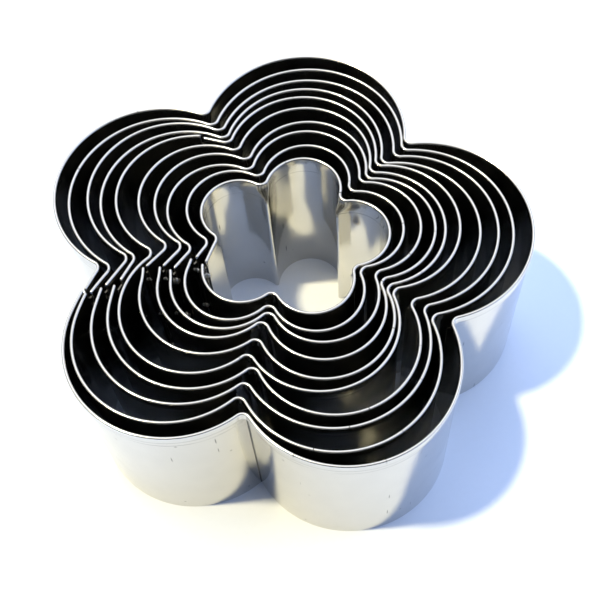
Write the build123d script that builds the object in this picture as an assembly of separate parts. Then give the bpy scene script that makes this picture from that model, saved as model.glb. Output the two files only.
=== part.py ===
from build123d import *
from math import acos, asin, cos, degrees, radians, sin, sqrt
import os

# Set of nested five-petal pastry cutters. Each cutter is one strip of thin stainless sheet,
# bent to a flower. Its top edge is folded outwards to a blunt rim, and its two ends are lapped
# and tacked just past one notch. Millimetres and degrees, +Z up, cutting edges down on Z = 0.

# The set
cutter_count = 10
largest_span = 102.0       # circle through the petal tips of the largest cutter's bare wall
span_step = 7.0            # from one cutter's circle to the next smaller one's
cutter_height = 38.0
nest_clearance = 0.25      # least gap that nesting leaves between neighbours

# The flower, along the middle of the sheet
petal_count = 5
petal_share = 0.415        # petal radius, of the radius to the petal tips
notch_bend = 1.7           # bend radius between two petals

# The sheet and its folded rim
sheet = 0.3
hem_depth = 2.0
hem_slit = 0.06            # left between the two layers of the fold

# The lapped seam
lap_length = 4.0
lap_slit = 0.05            # left between the two lapped ends
rim_gap = 1.0              # left between the two ends of the rim
tab_drop = 0.3             # from the rim's raw edge down to the tab behind it
tack_inset = 5.0           # from the rim, and from the cutting edge, to the outer tacks
tack_count = 3

# The petal that each seam lies on, counted round from the first, largest cutter first
seam_petal_counts = [3, 3, 3, 3, 2, 3, 3, 3, 3, 3]

# How each cutter lies inside the next larger one: to the right, to the back and turned left,
# as shares of the play between their flanks, largest cutter first
nest_shares = [
    (0.0, 0.0, 0.0),
    (-0.85, -0.25, -0.25),
    (0.15, 0.95, -0.2),
    (-0.15, 0.8, -0.35),
    (-0.15, 1.2, -0.1),
    (0.95, 0.05, -0.2),
    (1.05, 0.2, -0.1),
    (0.55, 0.25, 0.6),
    (-0.1, -0.3, -0.55),
    (0.0, 0.35, 0.05),
]

full_turn = 360.0
half_turn = full_turn / 2
petal_angle = full_turn / petal_count
rim_thickness = 2 * sheet + hem_slit
crown = rim_thickness / 2
lap_layer = sheet + lap_slit
tab_height = cutter_height - hem_depth - tab_drop
tack_radius = 1.5 * sheet


def polar(distance, bearing):
    """The point at a distance and a bearing from the origin."""
    return Vector(distance * cos(radians(bearing)), distance * sin(radians(bearing)))


class Flower:
    """One cutter's outline along the middle of its sheet, run anticlockwise."""

    def __init__(self, number):
        tip = (largest_span - number * span_step - sheet) / 2
        self.petal = petal_share * tip
        self.reach = tip - self.petal
        self.seam_petal = seam_petal_counts[number]
        half_angle = radians(petal_angle / 2)
        side = self.reach * sin(half_angle)
        ahead = sqrt((self.petal + notch_bend) ** 2 - side**2)
        self.notch = self.reach * cos(half_angle) + ahead
        # A petal's arc runs from half a sweep before its middle to half a sweep after it.
        self.half_sweep = petal_angle / 2 + degrees(asin(side / (self.petal + notch_bend)))
        # The seam's inner end is straight, square to this bearing from its petal's centre.
        half_lap = lap_length / 2
        self.run_depth = sqrt(self.petal**2 - half_lap**2) - lap_layer
        lean = degrees(acos((self.run_depth + notch_bend) / (self.petal + notch_bend)))
        self.run_bearing = self.seam_petal * petal_angle - self.half_sweep + lean
        self.tab_start = self.run_bearing - degrees(asin(half_lap / self.petal))
        self.rim_start = self.run_bearing + degrees(asin((half_lap + rim_gap) / self.petal))

    def petal_centre(self, index):
        return polar(self.reach, index * petal_angle)

    def notch_centre(self, index):
        """The centre of the bend that leads into a petal."""
        return polar(self.notch, (index - 0.5) * petal_angle)

    def petal_arc(self, index, start, end):
        return CenterArc(self.petal_centre(index), self.petal, start, end - start)

    def bend_arc(self, index, end):
        """The bend into a petal, up to where the strip stands square to the end bearing."""
        start = (index - 1) * petal_angle + self.half_sweep
        return CenterArc(self.notch_centre(index), notch_bend, start + half_turn, end - start)

    def run_end(self):
        """The free end of the strip, inside the seam."""
        foot = self.petal_centre(self.seam_petal) + polar(self.run_depth, self.run_bearing)
        return foot + polar(lap_length / 2, self.run_bearing + 90)

    def rim_path(self):
        """The rimmed strip: from the rim's start once round to the free end."""
        first = self.seam_petal
        arcs = [self.petal_arc(first, self.rim_start, first * petal_angle + self.half_sweep)]
        for index in range(first + 1, first + petal_count):
            near = index * petal_angle - self.half_sweep
            far = index * petal_angle + self.half_sweep
            arcs.append(self.bend_arc(index, near))
            arcs.append(self.petal_arc(index, near, far))
        last_bend = self.bend_arc(first + petal_count, self.run_bearing + full_turn)
        return Wire(arcs + [last_bend, Line(last_bend @ 1, self.run_end())])

    def tab_path(self):
        """The bare tab: from its end, behind the free end, to the rim's start."""
        return Wire([self.petal_arc(self.seam_petal, self.tab_start, self.rim_start)])


def rimmed_section():
    """Across the strip, outwards and up: the wall and the fold round its top."""
    inner = -sheet / 2
    outer = sheet / 2
    fold = outer + hem_slit
    edge = fold + sheet
    middle = outer + hem_slit / 2
    spring = cutter_height - crown
    raw = cutter_height - hem_depth
    outline = [
        Line((inner, 0), (inner, spring)),
        ThreePointArc((inner, spring), (middle, cutter_height), (edge, spring)),
        Line((edge, spring), (edge, raw)),
        Line((edge, raw), (fold, raw)),
        Line((fold, raw), (fold, spring)),
        ThreePointArc((fold, spring), (middle, spring + hem_slit / 2), (outer, spring)),
        Line((outer, spring), (outer, 0)),
        Line((outer, 0), (inner, 0)),
    ]
    return make_face(outline)


def bare_section():
    """Across the tab, outwards and up."""
    return Pos(0, tab_height / 2) * Rectangle(sheet, tab_height)


def swept(section, path, bearing):
    """A section carried along a path that starts square to the given bearing."""
    start = Plane(path @ 0, x_dir=polar(1, bearing), z_dir=polar(-1, bearing + 90))
    return sweep(start * section, path)


def tacks(flower):
    """The welds that hold the free end to the tab behind it, one above the other."""
    end = flower.run_end()
    pitch = (cutter_height - 2 * tack_inset) / (tack_count - 1)
    heights = [tack_inset + index * pitch for index in range(tack_count)]
    return [Pos(end.X, end.Y, height) * Sphere(tack_radius) for height in heights]


def cutter(flower):
    strip = swept(rimmed_section(), flower.rim_path(), flower.rim_start)
    tab = swept(bare_section(), flower.tab_path(), flower.tab_start)
    return strip + tab + tacks(flower)


def middle_of(flower):
    """The middle of the box round a flower."""
    centres = [flower.petal_centre(index) for index in range(petal_count)]
    across = [centre.X for centre in centres]
    deep = [centre.Y for centre in centres]
    return Vector((min(across) + max(across)) / 2, (min(deep) + max(deep)) / 2)


def nest_play(inner, outer):
    """How far one flower can lean inside another before its flanks come too near."""
    along_flank = (outer.reach - inner.reach) * cos(radians(inner.half_sweep))
    return outer.petal - inner.petal + along_flank - rim_thickness - nest_clearance


os.makedirs("parts", exist_ok=True)

outer = Flower(0)
place = Vector(0, 0) - middle_of(outer)
turn = 0.0
for number in range(cutter_count):
    flower = Flower(number)
    play = nest_play(flower, outer)
    right_share, back_share, turn_share = nest_shares[number]
    place += play * Vector(right_share, back_share)
    # A turn closes the play at the flanks, this far from the flower's middle.
    flank = flower.reach * sin(radians(flower.half_sweep))
    turn += degrees(turn_share * play / flank)
    shape = Pos(place.X, place.Y) * Rot(0, 0, turn) * cutter(flower)
    name = f"cutter_{number + 1:02d}"
    export_step(shape, f"parts/{name}.step")
    span = 2 * (flower.reach + flower.petal) + sheet
    print(f"{name}: {span:.1f} mm over the petal tips, turned {turn:.2f} degrees")
    outer = flower
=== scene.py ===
"""Ten five-petal pastry cutters, nested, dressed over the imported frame.

Each cutter is one bent strip: a polyline along the middle of its sheet goes through a node
tree that raises the wall, folds the rim over and gives the sheet its thickness.
"""

from math import asin, atan2, cos, degrees, pi, radians, sin, sqrt

import bmesh
import bpy
from mathutils import Matrix, Vector, noise


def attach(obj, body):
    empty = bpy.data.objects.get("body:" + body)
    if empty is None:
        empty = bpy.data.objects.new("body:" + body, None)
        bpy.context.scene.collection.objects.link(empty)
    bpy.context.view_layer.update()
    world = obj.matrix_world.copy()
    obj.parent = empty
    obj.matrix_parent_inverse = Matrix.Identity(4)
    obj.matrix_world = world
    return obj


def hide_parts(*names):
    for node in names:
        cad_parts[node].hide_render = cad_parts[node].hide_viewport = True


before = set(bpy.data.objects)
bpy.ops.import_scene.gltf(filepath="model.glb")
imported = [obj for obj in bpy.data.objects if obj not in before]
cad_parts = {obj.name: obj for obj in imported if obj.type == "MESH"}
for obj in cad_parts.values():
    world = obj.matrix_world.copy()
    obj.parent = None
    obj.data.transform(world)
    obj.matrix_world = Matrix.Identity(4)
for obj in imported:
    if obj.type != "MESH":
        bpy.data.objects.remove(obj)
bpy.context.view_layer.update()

MM = 0.001

# The set, as in the part's source
cutter_count = 10
largest_span = 102.0 * MM
span_step = 7.0 * MM
cutter_height = 38.0 * MM
nest_clearance = 0.25 * MM
# How each cutter lies inside the next larger one. A search by a program led to these shares,
# which are kept in steps of 0.05.
nest_shares = [
    (0.0, 0.0, 0.0),
    (-0.85, -0.25, -0.25),
    (0.15, 0.95, -0.2),
    (-0.15, 0.8, -0.35),
    (-0.15, 1.2, -0.1),
    (0.95, 0.05, -0.2),
    (1.05, 0.2, -0.1),
    (0.55, 0.25, 0.6),
    (-0.1, -0.3, -0.55),
    (0.0, 0.35, 0.05),
]

# The flower, as in the part's source
petal_count = 5
petal_share = 0.415
petal_angle = 360.0 / petal_count
notch_bend = 1.7 * MM

# The sheet and its folded rim, as in the part's source
sheet = 0.3 * MM
hem_depth = 2.0 * MM
hem_slit = 0.06 * MM
rim_thickness = 2 * sheet + hem_slit

# The lapped seam, as in the part's source
lap_length = 4.0 * MM
lap_slit = 0.05 * MM
lap_layer = sheet + lap_slit
tab_drop = 0.3 * MM
tack_inset = 5.0 * MM
tack_count = 3
tack_radius = 0.45 * MM
seam_petals = [3, 3, 3, 3, 2, 3, 3, 3, 3, 3]

# Below the fold the notches are creased tighter than the part's source has them. The crease
# opens to the full bend over this height.
crease_bend = 0.35 * MM
crease_blend = 1.6 * MM

# How far up the strip the hem's raw edge comes: up the wall, round the fold and down again.
fold_radius = (sheet + hem_slit) / 2
hem_end = cutter_height - hem_depth + 2 * (hem_depth - sheet / 2 - fold_radius) + pi * fold_radius

# Where each petal lies, from the first petal round, largest cutter first: how far its middle is
# to the right and to the back of a true flower's, and how much wider its radius is (mm). A
# program printed this table from arcs that it fitted to the picture's rims. Eight of its numbers
# were then changed.
petal_sets = [
    [
        (-0.28, -0.12, 0.28), (-1.29, -0.61, 0.28), (-0.12, 0.61, -0.11),
        (0.84, -0.16, -0.12), (0.02, 0.74, 0.41),
    ],
    [
        (-0.31, 0.18, 0.32), (0.05, -0.89, 0.35), (0.47, 0.09, 0.08),
        (-0.32, 0.0, -0.54), (-0.26, 0.17, -0.14),
    ],
    [
        (0.53, 0.03, -0.11), (0.18, -1.02, 0.14), (0.41, 1.02, -0.55),
        (0.65, 0.19, -0.32), (0.15, 1.13, 0.16),
    ],
    [
        (0.58, -0.15, -0.21), (0.05, -0.07, -0.31), (0.34, -0.08, -0.1),
        (1.25, -0.09, -0.07), (1.51, -0.93, -0.64),
    ],
    [
        (0.61, 0.27, -0.46), (0.3, -0.22, 0.14), (0.33, 0.4, -0.29),
        (0.13, -0.84, -0.49), (0.02, 0.35, -0.27),
    ],
    [
        (0.14, 0.11, -0.27), (0.3, 0.26, -0.01), (0.56, 0.44, -0.75),
        (0.97, 0.53, 0.0), (0.93, -0.85, -0.58),
    ],
    [
        (0.87, 0.03, -0.39), (0.52, -0.22, -0.2), (0.06, 0.16, -0.52),
        (0.06, 0.43, -0.55), (1.04, -0.37, -0.6),
    ],
    [
        (0.82, -0.22, -0.18), (0.76, -0.03, 0.11), (-0.46, -0.24, -0.33),
        (-0.71, 0.28, -0.08), (0.77, -0.06, -0.28),
    ],
    [
        (1.06, 0.2, -0.4), (0.83, 0.66, -0.56), (0.02, 0.56, -0.52),
        (-0.86, -0.97, -0.35), (0.78, -0.54, -0.37),
    ],
    [
        (1.53, -1.04, -0.3), (0.75, 0.21, -0.4), (-0.31, 0.54, -0.7),
        (-0.26, -0.14, -0.25), (0.88, 0.01, -0.09),
    ],
]

# How each seam was lapped: the bearing that the straight free end faces, how deep it lies
# inside its petal's circle and how far past the middle it ends (mm), the bearing where the
# rim starts behind it, and how far its top sprang inwards (mm). A program worked out the
# bearings and the ends from the picture, but for the smallest cutter's free end. The rest is
# given.
seams = [
    (147.7, 0.05, -2.38, 142.4, 0.0),
    (137.2, 0.22, 2.19, 145.3, 0.35),
    (140.2, 0.10, 1.74, 148.0, 0.05),
    (145.1, 0.05, 0.35, 151.1, 0.1),
    (66.5, 0.47, 1.91, 76.7, 0.0),
    (131.9, 0.20, 4.01, 149.6, 0.0),
    (133.1, 0.45, 3.63, 151.9, 0.1),
    (135.3, 0.78, 3.95, 158.9, 0.1),
    (135.6, 0.10, 0.33, 141.7, 0.3),
    (152.0, 0.45, 1.25, 164.9, 0.1),
]
seam_settles = 14.0       # degrees along the petal, until the rim's start lies on the circle
tab_clear = 0.4 * MM      # least way from the last bend to the tab
spring_lead = 2.0 * MM    # the springing starts this far before the straight free end
end_radius = 0.25 * MM    # the rim's ends are nipped round

# How finely a strip is drawn, in steps from point to point
fine_end = 0.4 * MM       # stretch at a rim's end that is drawn finely
tab_stop = fine_end / 8   # the tab's last point stands this far before the rim's start
tab_steps = 12
end_steps = 6
first_petal_steps = 58
petal_steps = 64
bend_steps = 18
run_steps = 14
wall_points = 22          # up the wall
fillet_steps = 6          # round each half of the crown
sharp_angle = 40.0        # degrees: the cut edges stay sharp, and the crown is smooth

# The weld beads, laid by hand: how much larger or smaller each cutter's are, how far their
# middles stand out from the sheet's, how much they are drawn upwards, and their lumps.
bead_swells = [0.9, 0.75, 0.8, 0.75, 0.8, 0.75, 0.8, 1.5, 1.1, 0.9]
bead_proud = 0.3 * tack_radius
bead_drawn = 1.35
bead_lumpiness = 0.25
bead_lump = 0.5 * MM

# The tints of the heat, each with how far it reaches and how deep it is in the middle
weld_tint = (1.3 * MM, 0.8)
press_tint = (1.4 * MM, 1.8)
# Two scorched press marks, one above the other, on the smallest cutter's right-hand petal: the
# cutter, counted from 0, then each mark's bearing and height.
press_marks = {9: [(74.5, 36.2 * MM), (73.0, 31.6 * MM)]}
crease_shade_reach = 0.17 * MM   # how far the painted shade in a crease spreads to each side

# What the node tree is told: name, value. Lengths in metres.
strip_sizes = {
    "Height": cutter_height,
    "Sheet": sheet,
    "Hem Depth": hem_depth,
    "Hem Slit": hem_slit,
    "Crease Blend": crease_blend,
    "Spring From": cutter_height - tack_inset,
    "Tab Drop": tab_drop,
    "Waviness": 0.05 * MM,
    "Wave Length": 17.0 * MM,
    "Seed": 0.0,
}
first_seed = 3.0
seed_step = 7.0           # from one cutter's waviness to the next one's

# What each point of a strip's middle line tells the node tree
line_marks = {
    "along": "FLOAT",            # the way along the strip
    "bare": "FLOAT",             # 1 on the tab, which has no rim
    "nip": "FLOAT",              # how far the rim's crown drops
    "crease": "FLOAT_VECTOR",    # the move to the tighter notch below the fold
    "spring": "FLOAT_VECTOR",    # the move of the top that sprang inwards
    "outwards": "FLOAT_VECTOR",  # the way that the strip's outside faces
}


def polar(distance, bearing):
    """The point at a distance and a bearing from the origin."""
    return Vector((distance * cos(radians(bearing)), distance * sin(radians(bearing)), 0.0))


def bearing_of(vector):
    """The way that a vector points, in degrees anticlockwise from the right."""
    return degrees(atan2(vector.y, vector.x))


def arc(centre, radius, start, end, steps):
    """The points of an arc, from its start to its end."""
    turns = [start + (end - start) * step / steps for step in range(steps + 1)]
    return [centre + polar(radius, turn) for turn in turns]


def after(bearing, start):
    """The same bearing, in the turn that follows the start."""
    return start + (bearing - start) % 360


class TrueFlower:
    """A cutter's outline as it would come off a perfect former."""

    def __init__(self, number):
        tip = (largest_span - number * span_step - sheet) / 2
        self.petal = petal_share * tip
        self.reach = tip - self.petal
        side = self.reach * sin(radians(petal_angle / 2))
        self.half_sweep = petal_angle / 2 + degrees(asin(side / (self.petal + notch_bend)))

    def petal_centre(self, index):
        return polar(self.reach, index * petal_angle)


class Flower:
    """One cutter's outline along the middle of its sheet, run anticlockwise from its seam."""

    def __init__(self, number, place):
        true = TrueFlower(number)
        first = seam_petals[number]
        self.petals = []
        for index in range(first, first + petal_count):
            right, back, wider = petal_sets[number][index % petal_count]
            centre = place @ true.petal_centre(index) + Vector((right, back, 0.0)) * MM
            self.petals.append((centre, true.petal + wider * MM))
        self.faces, deep, past, self.rim_start, spring = seams[number]
        self.centre, self.radius = self.petals[0]
        self.depth = self.radius - deep * MM
        self.past = past * MM
        self.spring = spring * MM
        # The bare tab lies straight behind the free end. The rim starts where the tab ends.
        ahead = radians(self.rim_start - self.faces)
        self.rim_reach = (self.depth + lap_layer) / cos(ahead)
        self.tab_end = self.rim_reach * sin(ahead)
        run_starts = (self.last_bend(notch_bend) - self.centre).dot(polar(1, self.faces + 90))
        self.tab_start = max(self.past - lap_length, run_starts + tab_clear)

    def beside_run(self, depth, along):
        """A point on the run's line, or on a line beside it."""
        return self.centre + polar(depth, self.faces) + polar(along, self.faces + 90)

    def bend_between(self, first, second, bend):
        """The centre of the bend that touches two petals from outside."""
        (one, one_radius), (two, two_radius) = first, second
        apart = two - one
        near = one_radius + bend
        along = (near**2 - (two_radius + bend) ** 2 + apart.length**2) / (2 * apart.length)
        outwards = Vector((apart.y, -apart.x, 0.0)).normalized()
        return one + apart.normalized() * along + outwards * sqrt(near**2 - along**2)

    def last_bend(self, bend):
        """The centre of the bend that touches the last petal and the straight run."""
        last, last_radius = self.petals[-1]
        deep = (self.centre - last).dot(polar(1, self.faces)) + self.depth + bend
        back = sqrt((last_radius + bend) ** 2 - deep**2)
        return last + polar(deep, self.faces) + polar(back, self.faces + 90)

    def creases(self):
        """Where the outside of the sheet lies deepest in each notch, below the fold."""
        bends = [self.bend_between(*pair, crease_bend) for pair in zip(self.petals, self.petals[1:])]
        bends.append(self.last_bend(crease_bend))
        middle = sum((centre for centre, radius in self.petals), Vector()) / petal_count
        deep = crease_bend - sheet / 2
        return [bend + (middle - bend).normalized() * deep for bend in bends]

    def petal_point(self, bearing):
        """On the first petal, which starts beside the circle and settles onto it."""
        share = max(0.0, 1 - (bearing - self.rim_start) / seam_settles) ** 2
        return self.centre + polar(self.radius + (self.rim_reach - self.radius) * share, bearing)

    def run_end(self):
        """The free end of the strip, inside the seam."""
        return self.beside_run(self.depth, self.past)

    def strip_outline(self, bend):
        """Points from the tab's end round to the free end, as many for every bend radius."""
        tip = degrees(fine_end / self.radius)
        tab_depth = self.depth + lap_layer
        tab_length = self.tab_end - self.tab_start
        points = []
        for step in range(tab_steps + 1):
            share = step / tab_steps * (1 - tab_stop / tab_length)
            points.append(self.beside_run(tab_depth, self.tab_start + share * tab_length))
        for step in range(end_steps + 1):
            points.append(self.petal_point(self.rim_start + tip * step / end_steps))
        near = self.rim_start + tip
        for index, (centre, radius) in enumerate(self.petals):
            if index + 1 < petal_count:
                bend_centre = self.bend_between(self.petals[index], self.petals[index + 1], bend)
            else:
                bend_centre = self.last_bend(bend)
            far = after(bearing_of(bend_centre - centre), near)
            if index == 0:
                for step in range(1, first_petal_steps + 1):
                    points.append(self.petal_point(near + (far - near) * step / first_petal_steps))
            else:
                points += arc(centre, radius, near, far, petal_steps)[1:]
            # The bend turns the other way, until it faces the next petal's middle or the run.
            start = far + 180
            if index + 1 < petal_count:
                end = bearing_of(self.petals[index + 1][0] - bend_centre)
            else:
                end = self.faces + 180
            end = start - (start - end) % 360
            points += arc(bend_centre, bend, start, end, bend_steps)[1:]
            near = end - 180
        start = points[-1]
        run = self.run_end() - start
        fine_share = fine_end / run.length
        shares = [step / run_steps * (1 - fine_share) for step in range(1, run_steps + 1)]
        shares += [1 - fine_share * (1 - step / end_steps) for step in range(1, end_steps + 1)]
        return points + [start + run * share for share in shares]


def nipped(distance):
    """How far the rim's crown drops, this far from its end."""
    short = max(0.0, end_radius - distance)
    return end_radius - sqrt(end_radius**2 - min(short, end_radius) ** 2)


def strip_line(flower, name, steel):
    """The strip's middle line as a chain of points, with its marks for the node tree."""
    line = flower.strip_outline(notch_bend)
    creased = flower.strip_outline(crease_bend)
    inwards = polar(-1, flower.faces)
    run_length = (line[-1] - line[-1 - end_steps - run_steps]).length
    along = [0.0]
    for here, there in zip(line, line[1:]):
        along.append(along[-1] + (there - here).length)
    rim_from = along[tab_steps + 1]

    rows = {mark: [] for mark in line_marks}
    for index, point in enumerate(line):
        to_end = along[-1] - along[index]
        ahead = line[min(index + 1, len(line) - 1)] - line[max(index - 1, 0)]
        bent = max(0.0, 1 - to_end / (run_length + spring_lead)) ** 2
        rows["along"].append(along[index])
        rows["bare"].append(float(index <= tab_steps))
        rows["nip"].append(nipped(min(abs(along[index] - rim_from), to_end)))
        rows["crease"].append(creased[index] - point)
        rows["spring"].append(inwards * flower.spring * bent)
        rows["outwards"].append(Vector((ahead.y, -ahead.x, 0)).normalized())

    chain = bpy.data.meshes.new(name)
    chain.from_pydata(line, [(i, i + 1) for i in range(len(line) - 1)], [])
    chain.materials.append(steel)
    for mark, kind in line_marks.items():
        layer = chain.attributes.new(mark, kind, "POINT")
        if kind == "FLOAT":
            layer.data.foreach_set("value", rows[mark])
        else:
            layer.data.foreach_set("vector", [part for value in rows[mark] for part in value])
    strip = bpy.data.objects.new(name, chain)
    bpy.context.scene.collection.objects.link(strip)
    return strip


def hex_colour(text):
    """A colour written as sRGB hex, in the linear values that Blender takes."""
    parts = [int(text[i : i + 2], 16) / 255 for i in (1, 3, 5)]
    linear = [c / 12.92 if c <= 0.04045 else ((c + 0.055) / 1.055) ** 2.4 for c in parts]
    return (*linear, 1.0)


def add(tree, kind, inputs=None, stops=(), **settings):
    """One node with its settings, and a colour ramp's stops. An input is given a plain value, a
    socket, a node whose first output it takes, or a list of such nodes."""
    node = tree.nodes.new(kind)
    for name, value in settings.items():
        setattr(node, name, value)
    for index, (position, colour) in enumerate(stops):
        elements = node.color_ramp.elements
        element = elements[index] if index < 2 else elements.new(position)
        element.position = position
        element.color = hex_colour(colour)
    for name, value in (inputs or {}).items():
        for source in value if isinstance(value, list) else [value]:
            if isinstance(source, bpy.types.Node):
                source = source.outputs[0]
            if isinstance(source, bpy.types.NodeSocket):
                tree.links.new(source, node.inputs[name])
            else:
                node.inputs[name].default_value = source
    return node


def folded_strip_tree(steel, cut_edge):
    """Raises a strip from its middle line: the wall, the folded rim, and the sheet's thickness."""
    tree = bpy.data.node_groups.new("folded_strip", "GeometryNodeTree")
    tree.interface.new_socket("Line", in_out="INPUT", socket_type="NodeSocketGeometry")
    for name, value in strip_sizes.items():
        socket = tree.interface.new_socket(name, in_out="INPUT", socket_type="NodeSocketFloat")
        socket.default_value = value
    tree.interface.new_socket("Strip", in_out="OUTPUT", socket_type="NodeSocketGeometry")
    given = tree.nodes.new("NodeGroupInput").outputs
    weld = 0.001 * MM         # points nearer than this become one
    marks = {
        name: add(tree, "GeometryNodeInputNamedAttribute", {"Name": name}, data_type=kind)
        for name, kind in line_marks.items()
    }
    across = add(tree, "GeometryNodeInputNamedAttribute", {"Name": "across"}, data_type="FLOAT")

    # The sheet's middle: up the wall, over the crown and down the outer layer.
    half_sheet = add(tree, "ShaderNodeMath", {0: given["Sheet"], 1: 0.5}, operation="MULTIPLY")
    top = add(tree, "ShaderNodeMath", {0: given["Height"], 1: half_sheet}, operation="SUBTRACT")
    wall_height = add(
        tree, "ShaderNodeMath", {0: given["Height"], 1: given["Hem Depth"]}, operation="SUBTRACT"
    )
    layer_gap = add(
        tree, "ShaderNodeMath", {0: given["Sheet"], 1: given["Hem Slit"]}, operation="ADD"
    )
    # The sweep turns a section's Y downwards, so the section stands on its head.
    wall_down = add(tree, "ShaderNodeMath", {0: 0.0, 1: wall_height}, operation="SUBTRACT")
    top_down = add(tree, "ShaderNodeMath", {0: 0.0, 1: top}, operation="SUBTRACT")
    corners = {
        "Point 1": {"Y": wall_down},
        "Point 2": {"Y": top_down},
        "Point 3": {"X": layer_gap, "Y": top_down},
        "Point 4": {"X": layer_gap, "Y": wall_down},
    }
    corners = {name: add(tree, "ShaderNodeCombineXYZ", spot) for name, spot in corners.items()}
    wall_line = add(
        tree,
        "GeometryNodeCurvePrimitiveLine",
        {"Start": (0.0, 0.0, 0.0), "End": corners["Point 1"]},
    )
    wall_line = add(
        tree, "GeometryNodeResampleCurve", {"Curve": wall_line, "Count": wall_points}
    )
    fold_line = add(tree, "GeometryNodeCurvePrimitiveQuadrilateral", corners, mode="POINTS")
    fold_line = add(
        tree, "GeometryNodeSetSplineCyclic", {"Geometry": fold_line, "Cyclic": False}
    )
    # A hair less than half the gap, so that the two fillets of the crown don't meet.
    crown_radius = add(tree, "ShaderNodeMath", {0: layer_gap, 1: 0.4999}, operation="MULTIPLY")
    fold_line = add(
        tree,
        "GeometryNodeFilletCurve",
        {"Curve": fold_line, "Count": fillet_steps, "Radius": crown_radius},
        mode="POLY",
    )
    run_up = add(tree, "GeometryNodeSplineParameter").outputs["Length"]
    past_wall = add(tree, "ShaderNodeMath", {0: run_up, 1: wall_height}, operation="ADD")

    # The wall runs the strip's whole length. The fold stops short of the bare tab.
    is_bare = add(tree, "FunctionNodeCompare", {0: marks["bare"], 1: 0.5}, operation="GREATER_THAN")
    rimmed = add(
        tree,
        "GeometryNodeDeleteGeometry",
        {"Geometry": given["Line"], "Selection": is_bare},
        domain="POINT",
    )
    swept = []
    for line, section, way_up in ((given["Line"], wall_line, run_up), (rimmed, fold_line, past_wall)):
        section = add(
            tree,
            "GeometryNodeStoreNamedAttribute",
            {"Geometry": section, "Name": "across", "Value": way_up},
            data_type="FLOAT",
            domain="POINT",
        )
        path = add(tree, "GeometryNodeMeshToCurve", {0: line})
        path = add(tree, "GeometryNodeSetCurveNormal", {"Curve": path}, mode="Z_UP")
        swept.append(
            add(tree, "GeometryNodeCurveToMesh", {"Curve": path, "Profile Curve": section})
        )
    middle = add(tree, "GeometryNodeJoinGeometry", {0: swept})
    middle = add(tree, "GeometryNodeMergeByDistance", {"Geometry": middle, "Distance": weld})

    # Hand forming: tight creases under the fold, sprung and nipped ends, a slight waviness.
    spot = add(tree, "GeometryNodeInputPosition")
    height = add(tree, "ShaderNodeSeparateXYZ", {0: spot}).outputs["Z"]
    crease_opens = add(
        tree, "ShaderNodeMath", {0: wall_height, 1: given["Crease Blend"]}, operation="SUBTRACT"
    )
    shares = {}
    for name, low, high, start, end in (
        ("below the fold", crease_opens, wall_height, 1.0, 0.0),
        ("above the tack", given["Spring From"], given["Height"], 0.0, 1.0),
        ("on the fold", wall_height, top, 0.0, 1.0),
        ("up the wall", 0.0, wall_height, 0.0, 1.0),
    ):
        shares[name] = add(
            tree,
            "ShaderNodeMapRange",
            {0: height, "From Min": low, "From Max": high, "To Min": start, "To Max": end},
            interpolation_type="SMOOTHSTEP",
        )
    # The waves run upright: they are drawn out upwards to three times their length.
    stretched = add(
        tree, "ShaderNodeVectorMath", {0: spot, 1: (1.0, 1.0, 0.3)}, operation="MULTIPLY"
    )
    closeness = add(tree, "ShaderNodeMath", {0: 1.0, 1: given["Wave Length"]}, operation="DIVIDE")
    waves = add(
        tree,
        "ShaderNodeTexNoise",
        {"Vector": stretched, "W": given["Seed"], "Scale": closeness, "Detail": 1.0},
        noise_dimensions="4D",
    )
    waves = add(tree, "ShaderNodeMath", {0: waves, 1: 0.5}, operation="SUBTRACT")
    waves = add(tree, "ShaderNodeMath", {0: waves, 1: given["Waviness"]}, operation="MULTIPLY")
    waves = add(tree, "ShaderNodeMath", {0: waves, 1: 2.0}, operation="MULTIPLY")
    nip_drop = add(
        tree, "ShaderNodeMath", {0: marks["nip"], 1: shares["on the fold"]}, operation="MULTIPLY"
    )
    bare_drop = add(
        tree, "ShaderNodeMath", {0: marks["bare"], 1: shares["up the wall"]}, operation="MULTIPLY"
    )
    bare_drop = add(
        tree, "ShaderNodeMath", {0: bare_drop, 1: given["Tab Drop"]}, operation="MULTIPLY"
    )
    dropped = add(tree, "ShaderNodeMath", {0: nip_drop, 1: bare_drop}, operation="ADD")
    dropped = add(tree, "ShaderNodeMath", {0: 0.0, 1: dropped}, operation="SUBTRACT")
    move = add(tree, "ShaderNodeCombineXYZ", {"Z": dropped})
    for mark, share in (
        ("crease", shares["below the fold"]),
        ("spring", shares["above the tack"]),
        ("outwards", waves),
    ):
        part = add(tree, "ShaderNodeVectorMath", {0: marks[mark], "Scale": share}, operation="SCALE")
        move = add(tree, "ShaderNodeVectorMath", {0: move, 1: part}, operation="ADD")
    middle = add(tree, "GeometryNodeSetPosition", {"Geometry": middle, "Offset": move})

    # The sheet's thickness, half to each side. What the extrusion adds at the sides is cut edge.
    normal = add(tree, "GeometryNodeInputNormal").outputs[0]
    inner_side = add(tree, "ShaderNodeMath", {0: half_sheet, 1: -1.0}, operation="MULTIPLY")
    inwards = add(
        tree, "ShaderNodeVectorMath", {0: normal, "Scale": inner_side}, operation="SCALE"
    )
    inner = add(tree, "GeometryNodeSetPosition", {"Geometry": middle, "Offset": inwards})
    outer = add(
        tree,
        "GeometryNodeExtrudeMesh",
        {"Mesh": inner, "Offset Scale": given["Sheet"], "Individual": False},
        mode="FACES",
    )
    back = add(tree, "GeometryNodeFlipFaces", {"Mesh": inner})
    whole = add(tree, "GeometryNodeJoinGeometry", {0: [outer, back]})
    whole = add(tree, "GeometryNodeMergeByDistance", {"Geometry": whole, "Distance": weld})

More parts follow.
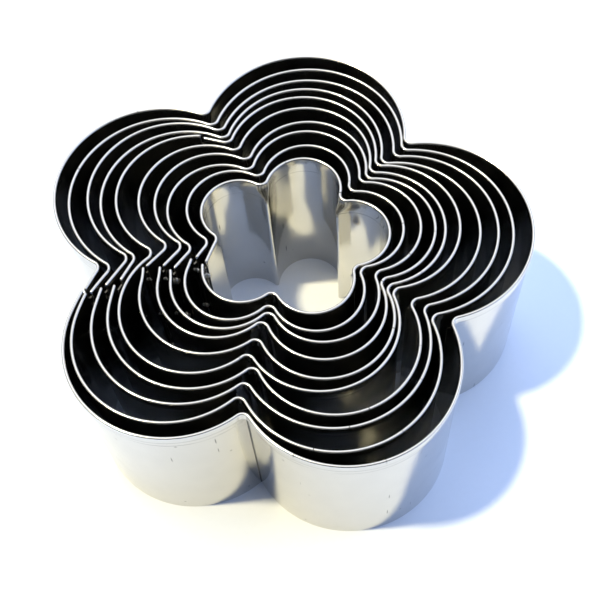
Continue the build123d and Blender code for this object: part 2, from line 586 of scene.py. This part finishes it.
    flat = add(tree, "ShaderNodeCombineXYZ", {"X": marks["along"], "Y": across})
    whole = add(
        tree,
        "GeometryNodeStoreNamedAttribute",
        {"Geometry": whole, "Name": "UVMap", "Value": flat},
        data_type="FLOAT2",
        domain="CORNER",
    )
    for name in (*line_marks, "across"):
        whole = add(tree, "GeometryNodeRemoveAttribute", {"Geometry": whole, "Name": name})
    whole = add(tree, "GeometryNodeRealizeInstances", {"Geometry": whole})
    whole = add(tree, "GeometryNodeSetMaterial", {"Geometry": whole, "Material": steel})
    whole = add(
        tree,
        "GeometryNodeSetMaterial",
        {"Geometry": whole, "Selection": outer.outputs["Side"], "Material": cut_edge},
    )
    final = add(tree, "NodeGroupOutput", {0: whole})
    final.is_active_output = True
    return tree


def new_material(name):
    """A material with nothing in it yet, and its node tree."""
    material = bpy.data.materials.new(name)
    material.use_nodes = True
    material.node_tree.nodes.clear()
    return material, material.node_tree


def rolled_stainless():
    """18/8 stainless strip, cold rolled bright: near-white metal, a trace warm, drawn out a
    little along the strip by the rolling grain, with rub marks from nesting and straw to brown
    tints where it was welded."""
    material, tree = new_material("stainless_strip_rolled_bright")
    uv = add(tree, "ShaderNodeUVMap", uv_map="UVMap")
    spot = add(tree, "ShaderNodeTexCoord").outputs["Object"]
    up_strip = add(tree, "ShaderNodeSeparateXYZ", {0: uv}).outputs["Y"]
    height = add(tree, "ShaderNodeSeparateXYZ", {0: spot}).outputs["Z"]

    # How far one cell of each pattern reaches along and up the strip (mm). The grain's real
    # lines are 0.02 to 0.05 mm apart. They are drawn 0.22 mm apart so that they show.
    cells = {"grain": (9.0, 0.22), "rub": (0.25, 4.0), "nick": (1.3, 12.0), "roller": (14.0, 60.0)}
    on_strip = {}
    for name, (along, up) in cells.items():
        scale = (1 / (along * MM), 1 / (up * MM), 1.0)
        on_strip[name] = add(tree, "ShaderNodeMapping", {"Vector": uv, "Scale": scale})

    grain = add(
        tree, "ShaderNodeTexNoise", {"Vector": on_strip["grain"], "Scale": 1.0, "Detail": 3.0}
    )
    # Cloudiness of the rolled skin, some 6 mm across.
    cloud = add(tree, "ShaderNodeTexNoise", {"Vector": spot, "Scale": 1 / (6.0 * MM)})
    clouded = add(tree, "ShaderNodeMapRange", {0: cloud, "From Min": 0.3, "From Max": 0.7})

    # Rub marks from sliding in and out of the nest: upright, 0.25 mm wide and 4 mm long, in
    # patches some 11 mm across.
    rub = add(tree, "ShaderNodeTexNoise", {"Vector": on_strip["rub"], "Scale": 1.0})
    rub = add(tree, "ShaderNodeMapRange", {0: rub, "From Min": 0.66, "From Max": 0.78})
    patches = add(tree, "ShaderNodeTexNoise", {"Vector": spot, "Scale": 1 / (11.0 * MM)})
    patches = add(tree, "ShaderNodeMapRange", {0: patches, "From Min": 0.48, "From Max": 0.62})
    rub = add(tree, "ShaderNodeMath", {0: rub, 1: patches}, operation="MULTIPLY")

    # Pin dents and specks, up to 0.5 mm across and some 5 mm apart.
    specks = add(tree, "ShaderNodeTexVoronoi", {"Vector": spot, "Scale": 1 / (5.0 * MM)})
    specks = add(
        tree,
        "ShaderNodeMapRange",
        {0: specks, "From Min": 0.03, "From Max": 0.07, "To Min": 1.0, "To Max": 0.0},
    )

    # Nicks: upright scratches 0.2 mm wide and 2 mm long, in every fourth cell.
    scratches = add(tree, "ShaderNodeTexVoronoi", {"Vector": on_strip["nick"], "Scale": 1.0})
    chance = add(tree, "ShaderNodeSeparateColor", {0: scratches.outputs["Color"]})
    chosen = add(tree, "ShaderNodeMapRange", {0: chance, "From Min": 0.72, "From Max": 0.74})
    nicks = add(
        tree,
        "ShaderNodeMapRange",
        {0: scratches, "From Min": 0.06, "From Max": 0.12, "To Min": 1.0, "To Max": 0.0},
    )
    nicks = add(tree, "ShaderNodeMath", {0: nicks, 1: chosen}, operation="MULTIPLY")

    # The largest cutter shows a fine line at its front, 4 mm below the crown. It is taken for the
    # mark of the bending rollers and drawn round every cutter, 0.18 mm wide, fainter in places.
    faint = add(tree, "ShaderNodeTexNoise", {"Vector": on_strip["roller"], "Scale": 1.0})
    faint = add(tree, "ShaderNodeMapRange", {0: faint, "From Min": 0.38, "From Max": 0.6})
    roller = add(
        tree,
        "ShaderNodeMath",
        {0: up_strip, 1: cutter_height - 4.0 * MM, 2: 0.09 * MM},
        operation="COMPARE",
    )
    roller = add(tree, "ShaderNodeMath", {0: roller, 1: faint}, operation="MULTIPLY")

    # The other fine line is a darker band along the last 0.2 mm above the hem's raw edge, is
    # taken for shear oil.
    raw_edge_band = add(
        tree,
        "ShaderNodeMapRange",
        {0: up_strip, "From Min": hem_end - 0.25 * MM, "From Max": hem_end - 0.15 * MM},
    )
    # Painted shade: the outside of each tight crease below the fold is darkened where shade falls in
    # the notch, and made duller.
    crease_shade = add(tree, "ShaderNodeAttribute", attribute_name="crease_grime").outputs["Fac"]
    # The crown of the fold is stretched by the bending, and a little duller for it.
    crown = add(
        tree,
        "ShaderNodeMapRange",
        {0: height, "From Min": cutter_height - 0.5 * MM, "From Max": cutter_height - 0.2 * MM},
    )

    # The heat of a weld tints the metal in rings, from straw to dark brown, with ragged edges.
    heat = add(tree, "ShaderNodeAttribute", attribute_name="heat_tint").outputs["Fac"]
    ragged = add(tree, "ShaderNodeMath", {0: cloud, 1: 0.5}, operation="SUBTRACT")
    ragged = add(tree, "ShaderNodeMath", {0: ragged, 1: 0.35, 2: heat}, operation="MULTIPLY_ADD")
    rings = (
        (0.10, "#d3d1cc"), (0.35, "#b9b2a0"), (0.55, "#8d8478"), (0.78, "#5f5c5e"), (1.0, "#37322d"),
    )
    colour = add(tree, "ShaderNodeValToRGB", {0: ragged}, rings)
    # What lies over the metal, how much of it and in which colour.
    for mark, strength, hue in (
        (clouded, 0.35, "#c7c5c1"),
        (specks, 0.7, "#75726d"),
        (nicks, 0.8, "#4f4d49"),
        (roller, 0.7, "#5f5d59"),
        (raw_edge_band, 0.4, "#57544e"),
        # the crease mark is painted shade
        (crease_shade, 1.0, "#302d29"),
    ):
        share = add(tree, "ShaderNodeMath", {0: mark, 1: strength}, operation="MULTIPLY")
        mix = add(tree, "ShaderNodeMix", {0: share, 6: colour, 7: hex_colour(hue)}, data_type="RGBA")
        colour = mix.outputs[2]

    rough = 0.11
    for mark, dulled in ((clouded, 0.07), (rub, 0.16), (crease_shade, 0.3), (crown, 0.06)):
        inputs = {0: mark, 1: dulled, 2: rough}
        rough = add(tree, "ShaderNodeMath", inputs, operation="MULTIPLY_ADD")
    relief = grain
    for mark, raised in ((rub, -0.5), (specks, -2.0)):
        inputs = {0: mark, 1: raised, 2: relief}
        relief = add(tree, "ShaderNodeMath", inputs, operation="MULTIPLY_ADD")
    bump = add(
        tree, "ShaderNodeBump", {"Strength": 0.5, "Distance": 0.0025 * MM, "Height": relief}
    )
    shader = add(
        tree,
        "ShaderNodeBsdfPrincipled",
        {
            "Base Color": colour,
            "Metallic": 1.0,
            "Roughness": rough,
            "Anisotropic": 0.35,
            "Tangent": add(tree, "ShaderNodeTangent", direction_type="UV_MAP", uv_map="UVMap"),
            "Normal": bump,
        },
    )
    add(tree, "ShaderNodeOutputMaterial", {"Surface": shader})
    return material


def sheared_stainless():
    """The strip's cut edges, sheared and left raw: the same metal, dull, finely torn and dark
    with the oil of the shear."""
    material, tree = new_material("stainless_cut_edge_sheared")
    spot = add(tree, "ShaderNodeTexCoord").outputs["Object"]
    # Tearing of the shear, 0.15 mm from mark to mark.
    torn = add(tree, "ShaderNodeTexNoise", {"Vector": spot, "Scale": 1 / (0.15 * MM)})
    bump = add(tree, "ShaderNodeBump", {"Strength": 0.6, "Distance": 0.01 * MM, "Height": torn})
    shade = add(tree, "ShaderNodeValToRGB", {0: torn}, ((0.0, "#4b4946"), (1.0, "#7a7874")))
    shader = add(
        tree,
        "ShaderNodeBsdfPrincipled",
        {"Base Color": shade, "Metallic": 1.0, "Roughness": 0.45, "Normal": bump},
    )
    add(tree, "ShaderNodeOutputMaterial", {"Surface": shader})
    return material


def tack_weld():
    """A tack's bead of melted stainless: bright and rippled, a trace browner where it dips."""
    material, tree = new_material("stainless_tack_weld")
    spot = add(tree, "ShaderNodeTexCoord").outputs["Object"]
    # Ripples of the frozen bead, 0.3 mm apart.
    ripple = add(
        tree, "ShaderNodeTexNoise", {"Vector": spot, "Scale": 1 / (0.3 * MM), "Detail": 3.0}
    )
    bump = add(tree, "ShaderNodeBump", {"Strength": 0.8, "Distance": 0.05 * MM, "Height": ripple})
    tint = add(tree, "ShaderNodeValToRGB", {0: ripple}, ((0.35, "#cfccc6"), (0.6, "#f6f5f2")))
    shader = add(
        tree,
        "ShaderNodeBsdfPrincipled",
        {"Base Color": tint, "Metallic": 1.0, "Roughness": 0.3, "Normal": bump},
    )
    add(tree, "ShaderNodeOutputMaterial", {"Surface": shader})
    return material


def white_paper():
    """Matt white paper on the bench: white where the key lamp reaches it, blue where only the
    sky does."""
    material, tree = new_material("white_paper_matt")
    spot = add(tree, "ShaderNodeTexCoord").outputs["Object"]
    # Fibres and small clouds in the sheet, 1.2 mm across.
    fibre = add(
        tree, "ShaderNodeTexNoise", {"Vector": spot, "Scale": 1 / (1.2 * MM), "Detail": 3.0}
    )
    inputs = {0: fibre, 6: hex_colour("#fafaf8"), 7: hex_colour("#fefefd")}
    tone = add(tree, "ShaderNodeMix", inputs, data_type="RGBA")
    shader = add(
        tree,
        "ShaderNodeBsdfPrincipled",
        {"Base Color": tone.outputs[2], "Roughness": 0.9, "Specular IOR Level": 0.2},
    )
    add(tree, "ShaderNodeOutputMaterial", {"Surface": shader})
    return material


def nest_play(inner, outer):
    """How far one flower can lean inside another before its flanks come too near."""
    along_flank = (outer.reach - inner.reach) * cos(radians(inner.half_sweep))
    return outer.petal - inner.petal + along_flank - rim_thickness - nest_clearance


def middle_of(flower):
    """The middle of the box round a flower."""
    centres = [flower.petal_centre(index) for index in range(petal_count)]
    across = [centre.x for centre in centres]
    deep = [centre.y for centre in centres]
    return Vector(((min(across) + max(across)) / 2, (min(deep) + max(deep)) / 2, 0.0))


def nest_places():
    """Where each cutter lies in the nest: a move and a turn about the upright."""
    places = []
    outer = TrueFlower(0)
    move = -middle_of(outer)
    turn = 0.0
    for number in range(cutter_count):
        flower = TrueFlower(number)
        play = nest_play(flower, outer)
        right_share, back_share, turn_share = nest_shares[number]
        move = move + Vector((right_share, back_share, 0.0)) * play
        # A turn closes the play at the flanks, this far from the flower's middle.
        flank = flower.reach * sin(radians(flower.half_sweep))
        turn += turn_share * play / flank
        places.append(Matrix.Translation(move) @ Matrix.Rotation(turn, 4, "Z"))
        outer = flower
    return places


def tack_spots(flower):
    """Where the tacks sit on the free end, one above the other."""
    end = flower.run_end() + polar(bead_proud, flower.faces)
    pitch = (cutter_height - 2 * tack_inset) / (tack_count - 1)
    heights = [tack_inset + index * pitch for index in range(tack_count)]
    return [end + Vector((0.0, 0.0, height)) for height in heights]


def add_beads(cutter, spots, swell, slot):
    """The weld beads, one lumpy drop at each tack, joined into the cutter's mesh."""
    mesh = bmesh.new()
    mesh.from_mesh(cutter.data)
    for spot in spots:
        drop = bmesh.ops.create_icosphere(mesh, subdivisions=3, radius=tack_radius)["verts"]
        for vert in drop:
            lump = swell * (1 + bead_lumpiness * noise.noise((vert.co + spot) / bead_lump))
            vert.co = Vector((vert.co.x, vert.co.y, vert.co.z * bead_drawn)) * lump + spot
        for face in {face for vert in drop for face in vert.link_faces}:
            face.material_index = slot
            face.smooth = True
    mesh.to_mesh(cutter.data)
    mesh.free()


def tint_round(cutter, marks):
    """Marks how deeply each point is tinted by a weld or a scorch near it, from 0 to 1."""
    layer = cutter.data.attributes.new("heat_tint", "FLOAT", "POINT")
    tints = []
    for vert in cutter.data.vertices:
        near = 0.0
        for spot, (reach, depth) in marks:
            if abs(vert.co.z - spot.z) < reach:
                near = max(near, depth * (1 - (vert.co - spot).length / reach))
        tints.append(min(near, 1.0))
    layer.data.foreach_set("value", tints)


def paint_crease_shade(cutter, creases):
    """Marks the outside of each crease below the fold, where shade is painted into the metal's
    colour.
    """
    layer = cutter.data.attributes.new("crease_grime", "FLOAT", "POINT")
    top = cutter_height - hem_depth - crease_blend / 2
    crease_shade = []
    for vert in cutter.data.vertices:
        away = min((vert.co.xy - crease.xy).length for crease in creases) / crease_shade_reach
        crease_shade.append(max(0.0, 1 - away**2) if vert.co.z < top else 0.0)
    layer.data.foreach_set("value", crease_shade)


steel = rolled_stainless()
cut_edge = sheared_stainless()
bead = tack_weld()
strip_tree = folded_strip_tree(steel, cut_edge)
sockets = [item for item in strip_tree.interface.items_tree if item.in_out == "INPUT"]
socket_of = {item.name: item.identifier for item in sockets}

for number, place in enumerate(nest_places()):
    flower = Flower(number, place)
    strip = strip_line(flower, f"strip_{number + 1:02d}", steel)
    folding = strip.modifiers.new("fold", "NODES")
    folding.node_group = strip_tree
    for name, value in strip_sizes.items():
        folding[socket_of[name]] = value
    folding[socket_of["Seed"]] = first_seed + seed_step * number
    evaluated = strip.evaluated_get(bpy.context.evaluated_depsgraph_get())
    mesh = bpy.data.meshes.new_from_object(evaluated)
    bpy.data.objects.remove(strip)
    mesh.materials.pop(index=0)    # the node tree leaves its first slot empty
    mesh.materials.append(bead)
    node = f"cutter_{number + 1:02d}"
    mesh.name = f"{node}_strip"
    cutter = bpy.data.objects.new(f"{node}_strip", mesh)
    bpy.context.scene.collection.objects.link(cutter)

    tacks = tack_spots(flower)
    add_beads(cutter, tacks, bead_swells[number], len(mesh.materials) - 1)
    marks = [(spot, weld_tint) for spot in tacks]
    for bearing, height in press_marks.get(number, []):
        centre, radius = flower.petals[petal_count - seam_petals[number]]
        mark = centre + polar(radius, bearing) + Vector((0.0, 0.0, height))
        marks.append((mark, press_tint))
    tint_round(cutter, marks)
    # Painted shade down the outside of each crease below the fold.
    paint_crease_shade(cutter, flower.creases())
    mesh.set_sharp_from_angle(angle=radians(sharp_angle))
    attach(cutter, node)
    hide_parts(node)

# The floor
half_floor = 3.0
corners = [(-half_floor, -half_floor), (half_floor, -half_floor), (half_floor, half_floor)]
corners.append((-half_floor, half_floor))
floor_mesh = bpy.data.meshes.new("floor")
floor_mesh.from_pydata([(x, y, 0.0) for x, y in corners], [], [(0, 1, 2, 3)])
floor_mesh.materials.append(white_paper())
floor = bpy.data.objects.new("floor", floor_mesh)
bpy.context.scene.collection.objects.link(floor)

# The studio is open to a blue sky at the right and the back, and dark on the camera's side.
world = bpy.data.worlds.new("studio")
bpy.context.scene.world = world
world.use_nodes = True
sky = world.node_tree
sky.nodes.clear()
open_towards = (0.62, 0.72, 0.22)
ceiling_towards = (0.0, 0.5, 0.87)
towards = add(sky, "ShaderNodeTexCoord").outputs["Generated"]
open_side = add(sky, "ShaderNodeVectorMath", {0: towards, 1: open_towards}, operation="DOT_PRODUCT")
open_share = add(
    sky,
    "ShaderNodeMapRange",
    {0: open_side.outputs["Value"], "From Min": -0.3, "From Max": 0.5, "To Min": 0.05},
    interpolation_type="SMOOTHSTEP",
)
strength = add(sky, "ShaderNodeMath", {0: open_share, 1: 1.95}, operation="MULTIPLY")
daylight = add(sky, "ShaderNodeBackground", {"Color": (0.43, 0.59, 1.0, 1.0), "Strength": strength})
# The metal sees a white ceiling above and behind it. The ceiling sends no light on to the paper,
# so its share is nothing for a ray that comes from there.
rays = add(sky, "ShaderNodeLightPath").outputs
overhead = add(sky, "ShaderNodeVectorMath", {0: towards, 1: ceiling_towards}, operation="DOT_PRODUCT")
ceiling = add(
    sky,
    "ShaderNodeMapRange",
    {0: overhead.outputs["Value"], "From Min": 0.25, "From Max": 0.55},
    interpolation_type="SMOOTHSTEP",
)
ceiling = add(sky, "ShaderNodeMath", {0: ceiling, 1: rays["Is Glossy Ray"]}, operation="MULTIPLY")
straight = add(sky, "ShaderNodeMath", {0: rays["Diffuse Depth"], 1: 0.5}, operation="LESS_THAN")
ceiling = add(sky, "ShaderNodeMath", {0: ceiling, 1: straight}, operation="MULTIPLY")
# The eye sees plain white behind the floor.
seen = add(sky, "ShaderNodeMath", {0: ceiling, 1: rays["Is Camera Ray"]}, operation="MAXIMUM")
white = add(sky, "ShaderNodeBackground", {"Color": hex_colour("#ffffff"), "Strength": 1.0})
blend = add(sky, "ShaderNodeMixShader", {0: seen, 1: daylight, 2: white})
add(sky, "ShaderNodeOutputWorld", {"Surface": blend})


def lamp(name, kind, place, target, power, colour, **settings):
    """A lamp aimed at a point."""
    light = bpy.data.lights.new(name, kind)
    light.energy = power
    light.color = colour
    for setting, value in settings.items():
        setattr(light, setting, value)
    holder = bpy.data.objects.new(name, light)
    holder.location = place
    holder.rotation_euler = (Vector(target) - Vector(place)).to_track_quat("-Z", "Y").to_euler()
    bpy.context.scene.collection.objects.link(holder)


# The key stands so far off that it lights the whole floor evenly. Its shadow's edge is soft.
key_from = Vector((-17.8, 1.2, 38.0)).normalized() * 1.5
lamp("key_lamp", "SUN", key_from, (0, 0, 0), 2.72, (1.0, 0.92, 0.62), angle=radians(3.8))
top_from = (0.0, 0.9, 1.2)
lamp("top_lamp", "AREA", top_from, (0, 0, 0.02), 3.5, (0.7, 0.8, 1.0), shape="DISK", size=1.0)

# The camera, at the picture's viewing angle, which a program fitted to the rims
stand = Vector((-5.02, -115.32, 208.93)) * MM
aim = Vector((4.38, -31.68, 38.0)) * MM
view = (aim - stand).to_track_quat("-Z", "Y").to_matrix().to_4x4()
camera_data = bpy.data.cameras.new("camera")
camera_data.lens = 60.94
camera_data.sensor_width = 36.0
camera_data.sensor_fit = "HORIZONTAL"
camera_data.shift_x = -0.0667
camera_data.shift_y = 0.1292
camera_data.clip_start = 0.01
camera_data.clip_end = 20.0
camera = bpy.data.objects.new("camera", camera_data)
camera.matrix_world = Matrix.Translation(stand) @ view @ Matrix.Rotation(radians(-1.96), 4, "Z")
bpy.context.scene.collection.objects.link(camera)
bpy.context.scene.camera = camera
bpy.context.scene.view_settings.view_transform = "Standard"
